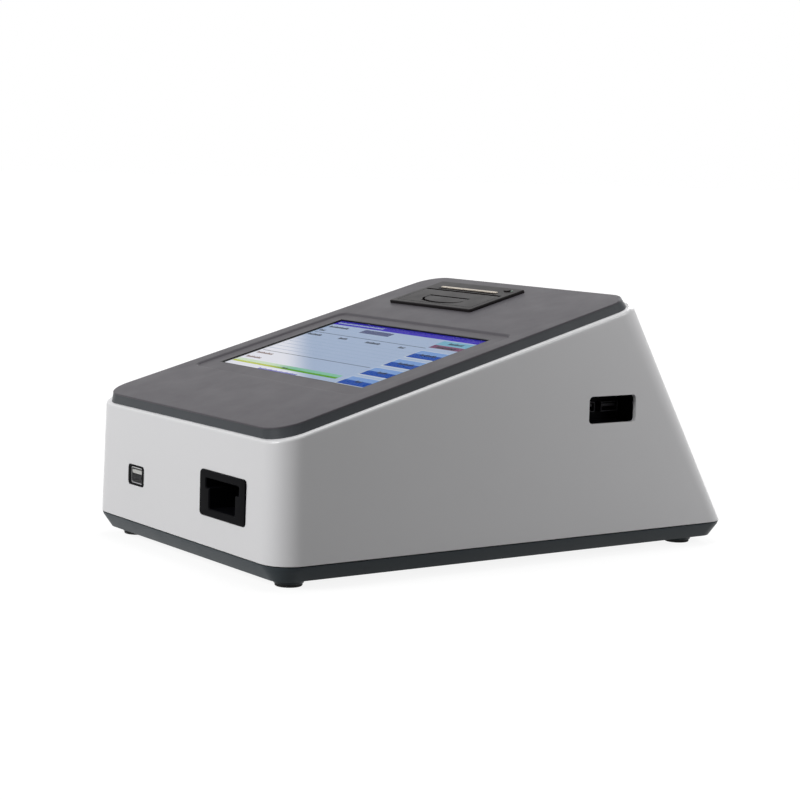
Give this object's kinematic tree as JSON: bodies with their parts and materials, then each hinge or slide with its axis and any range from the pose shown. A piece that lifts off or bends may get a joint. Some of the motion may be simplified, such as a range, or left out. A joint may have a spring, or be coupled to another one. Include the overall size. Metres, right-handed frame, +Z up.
{
  "type": "rapid test reader",
  "caption": "Desktop rapid test reader: wedge-shaped case with a sunken touchscreen, slide-out cassette tray, chip socket, top-mounted receipt printer, data ports and rubber feet.",
  "frame": {"origin": "centre of the case's footprint, on the plane that the four rubber feet stand on", "axes": "+X to the object's right as its user faces it, +Y from the front face towards the back, +Z up"},
  "size_m": [0.211, 0.3324, 0.1538],
  "materials": {
    "shell_white": "satin gloss",
    "base_slate": "satin",
    "band_slate": "satin",
    "panel_grey": "fine grain",
    "black_plastic": "satin",
    "printer_black": "fine grain",
    "foot_rubber": "matte",
    "screen_glass": "polished",
    "display_black": "gloss",
    "steel": "brushed",
    "axle_steel": "ground",
    "aluminium": "extruded",
    "board_green": "solder mask",
    "component_black": "matte",
    "gear_white": "moulded",
    "tray_grey": "satin",
    "paper_white": "paper",
    "core_card": "card",
    "lens_glass": "polished",
    "lamp_green": "gloss",
    "tongue_pale": "moulded",
    "roller_rubber": "ground"
  },
  "bodies": {
    "case": {"upper_shell": "shell_white", "base_tray": "base_slate", "foot_front_left": "foot_rubber", "foot_front_right": "foot_rubber", "foot_rear_left": "foot_rubber", "foot_rear_right": "foot_rubber", "base_screws": "steel", "panel_band": "band_slate", "top_panel": "panel_grey", "screen_gasket": "black_plastic", "touch_glass": "screen_glass", "display_module": "display_black", "display_bracket": "steel", "bracket_screws": "steel", "port_bezel": "black_plastic", "tray_guide": "black_plastic", "tray_motor": "steel", "motor_bracket": "steel", "optical_head": "black_plastic", "lens": "lens_glass", "sensor_board": "board_green", "chip_holder": "black_plastic", "chip_contact_shell": "steel", "chip_tongue": "tongue_pale", "chip_board": "board_green", "side_bay": "black_plastic", "side_usb_sockets": "steel", "side_board": "board_green", "rear_port_plate": "base_slate", "power_inlet": "black_plastic", "network_socket": "steel", "rear_usb_socket": "steel", "switch_frame": "black_plastic", "mainboard": "board_green", "board_components": "component_black", "heat_sink": "aluminium", "board_screws": "steel", "printer_bezel": "printer_black", "printer_chassis": "black_plastic", "hinge_pin": "axle_steel", "tear_bar": "steel", "feed_motor": "steel", "print_head": "aluminium", "status_lamp": "lamp_green"},
    "tray": {"cassette_tray": "tray_grey", "tray_rack": "gear_white"},
    "pinion": {"drive_pinion": "gear_white"},
    "door": {"printer_door": "printer_black", "latch_pin": "axle_steel"},
    "latch": {"door_latch": "printer_black"},
    "roller": {"platen_roller": "roller_rubber", "platen_gear": "gear_white"},
    "feed": {"feed_gear": "gear_white"},
    "paper": {"paper_roll": "paper_white", "paper_core": "core_card"},
    "button": {"feed_button": "printer_black"},
    "rocker": {"power_rocker": "black_plastic"}
  },
  "joints": [
    {"name": "tray_slide", "type": "slide", "parent": "case", "child": "tray", "axis": [0, -1, 0], "range_m": [0, 0.072]},
    {"name": "pinion_spin", "type": "hinge", "parent": "case", "child": "pinion", "pos_m": [0.0482, -0.1315, 0.0276], "axis": [1, 0, 0], "range_deg": [0, 459]},
    {"name": "printer_door_hinge", "type": "hinge", "parent": "case", "child": "door", "pos_m": [-0.0296, 0.05414, 0.146], "axis": [-1, 0, 0], "range_deg": [0, 90]},
    {"name": "door_latch_pivot", "type": "hinge", "parent": "door", "child": "latch", "pos_m": [-0.0296, 0.04376, 0.14378], "axis": [-1, 0, 0], "range_deg": [0, 20], "stiffness_Nm_per_rad": 0.02},
    {"name": "platen_spin", "type": "hinge", "parent": "case", "child": "roller", "pos_m": [-0.0296, 0.06568, 0.13983], "axis": [1, 0, 0], "continuous": true},
    {"name": "feed_spin", "type": "hinge", "parent": "case", "child": "feed", "pos_m": [-0.0296, 0.06779, 0.13211], "axis": [1, 0, 0], "continuous": true},
    {"name": "paper_spin", "type": "hinge", "parent": "case", "child": "paper", "pos_m": [-0.0296, 0.0485, 0.12683], "axis": [1, 0, 0], "continuous": true},
    {"name": "feed_button_travel", "type": "slide", "parent": "case", "child": "button", "axis": [0, 0.2639, -0.9646], "range_m": [0, 0.0008], "stiffness_N_per_m": 400},
    {"name": "power_rocker_tilt", "type": "hinge", "parent": "case", "child": "rocker", "pos_m": [-0.022, 0.1406, 0.03], "axis": [1, 0, 0], "range_deg": [-9, 9]}
  ],
  "couplings": [
    {"joint": "pinion_spin", "follows": "tray_slide", "rad_per_m": 111.11},
    {"joint": "feed_spin", "follows": "platen_spin", "ratio": -1.2857}
  ]
}
